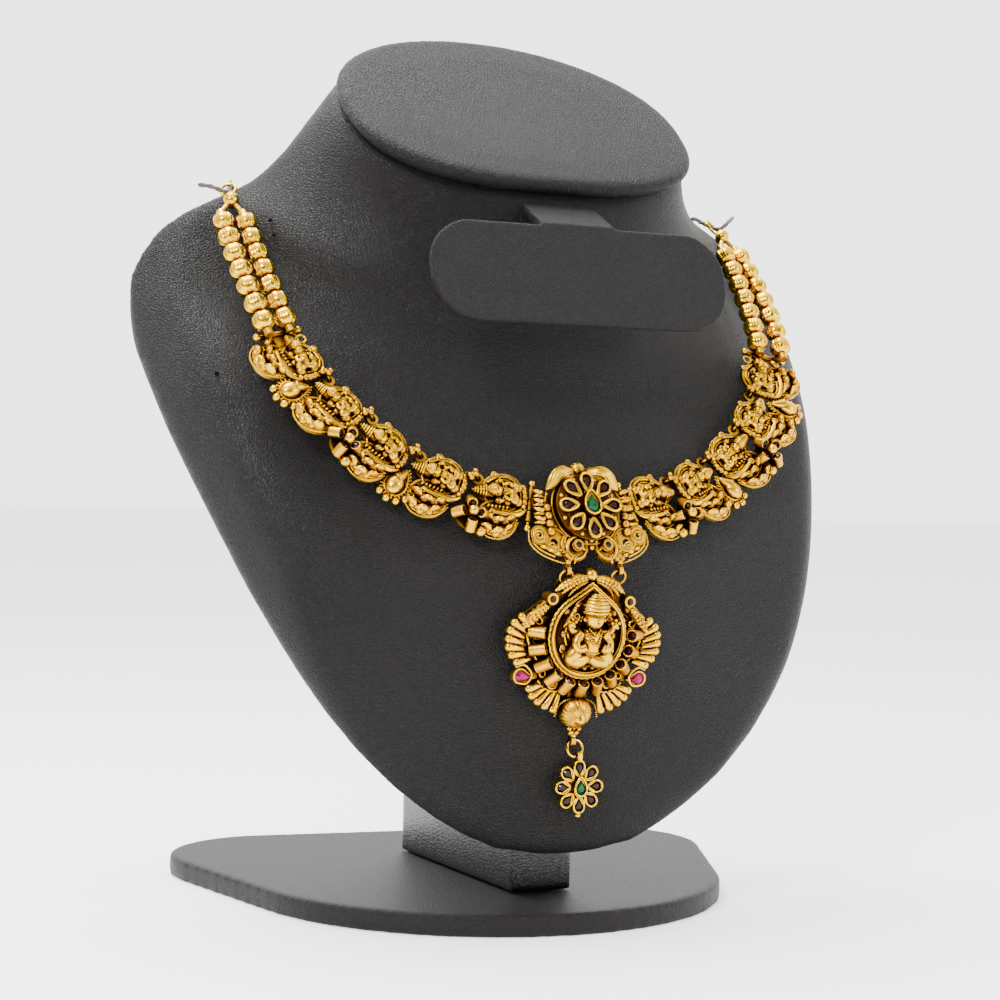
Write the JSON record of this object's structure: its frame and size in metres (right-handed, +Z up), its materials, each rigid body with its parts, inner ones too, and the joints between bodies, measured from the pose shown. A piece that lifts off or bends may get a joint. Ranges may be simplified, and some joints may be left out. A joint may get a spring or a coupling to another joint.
{
  "type": "temple jewellery necklace on a neck bust",
  "caption": "Antique gold temple necklace: bead rows, deity links, stone-set centre piece, pendant and flower drop, on a dark neck bust with an earring flap.",
  "frame": {"origin": "on the floor, under the middle of the base plate", "axes": "+X to the right of someone facing the necklace, +Y to the back, +Z up"},
  "size_m": [0.23, 0.1601, 0.2689],
  "materials": {
    "bust_cover": "matte fine grain",
    "post_cover": "slightly glossy",
    "base_cover": "matte fine grain",
    "antique_gold": "antique matte gold",
    "garnet": "polished",
    "ruby": "polished",
    "emerald": "polished",
    "thread": "twisted thread",
    "tie_thread": "twisted cord"
  },
  "bodies": {
    "root": {"base_plate": "base_cover", "stand_post": "post_cover", "bust_body": "bust_cover", "top_cap": "bust_cover", "earring_flap": "bust_cover", "beads_left_outer": "antique_gold", "beads_left_inner": "antique_gold", "beads_right_outer": "antique_gold", "beads_right_inner": "antique_gold", "bead_threads_left": "thread", "bead_threads_right": "thread", "end_cap_left": "antique_gold", "end_cap_right": "antique_gold", "link_left_1": "antique_gold", "link_left_2": "antique_gold", "link_left_3": "antique_gold", "link_left_4": "antique_gold", "link_left_5": "antique_gold", "link_right_1": "antique_gold", "link_right_2": "antique_gold", "link_right_3": "antique_gold", "link_right_4": "antique_gold", "link_right_5": "antique_gold", "link_rings_left": "antique_gold", "link_rings_right": "antique_gold", "hinge_pin_left": "antique_gold", "hinge_pin_right": "antique_gold", "flower_stones_left": "garnet", "flower_stones_right": "garnet", "centre_piece": "antique_gold", "centre_garnets": "garnet", "centre_emerald": "emerald", "peacock_eyes": "garnet", "pendant_ring_left": "antique_gold", "pendant_ring_right": "antique_gold", "pendant": "antique_gold", "pendant_garnets": "garnet", "bird_garnets": "garnet", "ruby_left": "ruby", "ruby_right": "ruby", "drop_ring": "antique_gold", "flower_drop": "antique_gold", "drop_garnets": "garnet", "drop_emerald": "emerald", "tie_cord": "tie_thread"}
  },
  "joints": []
}
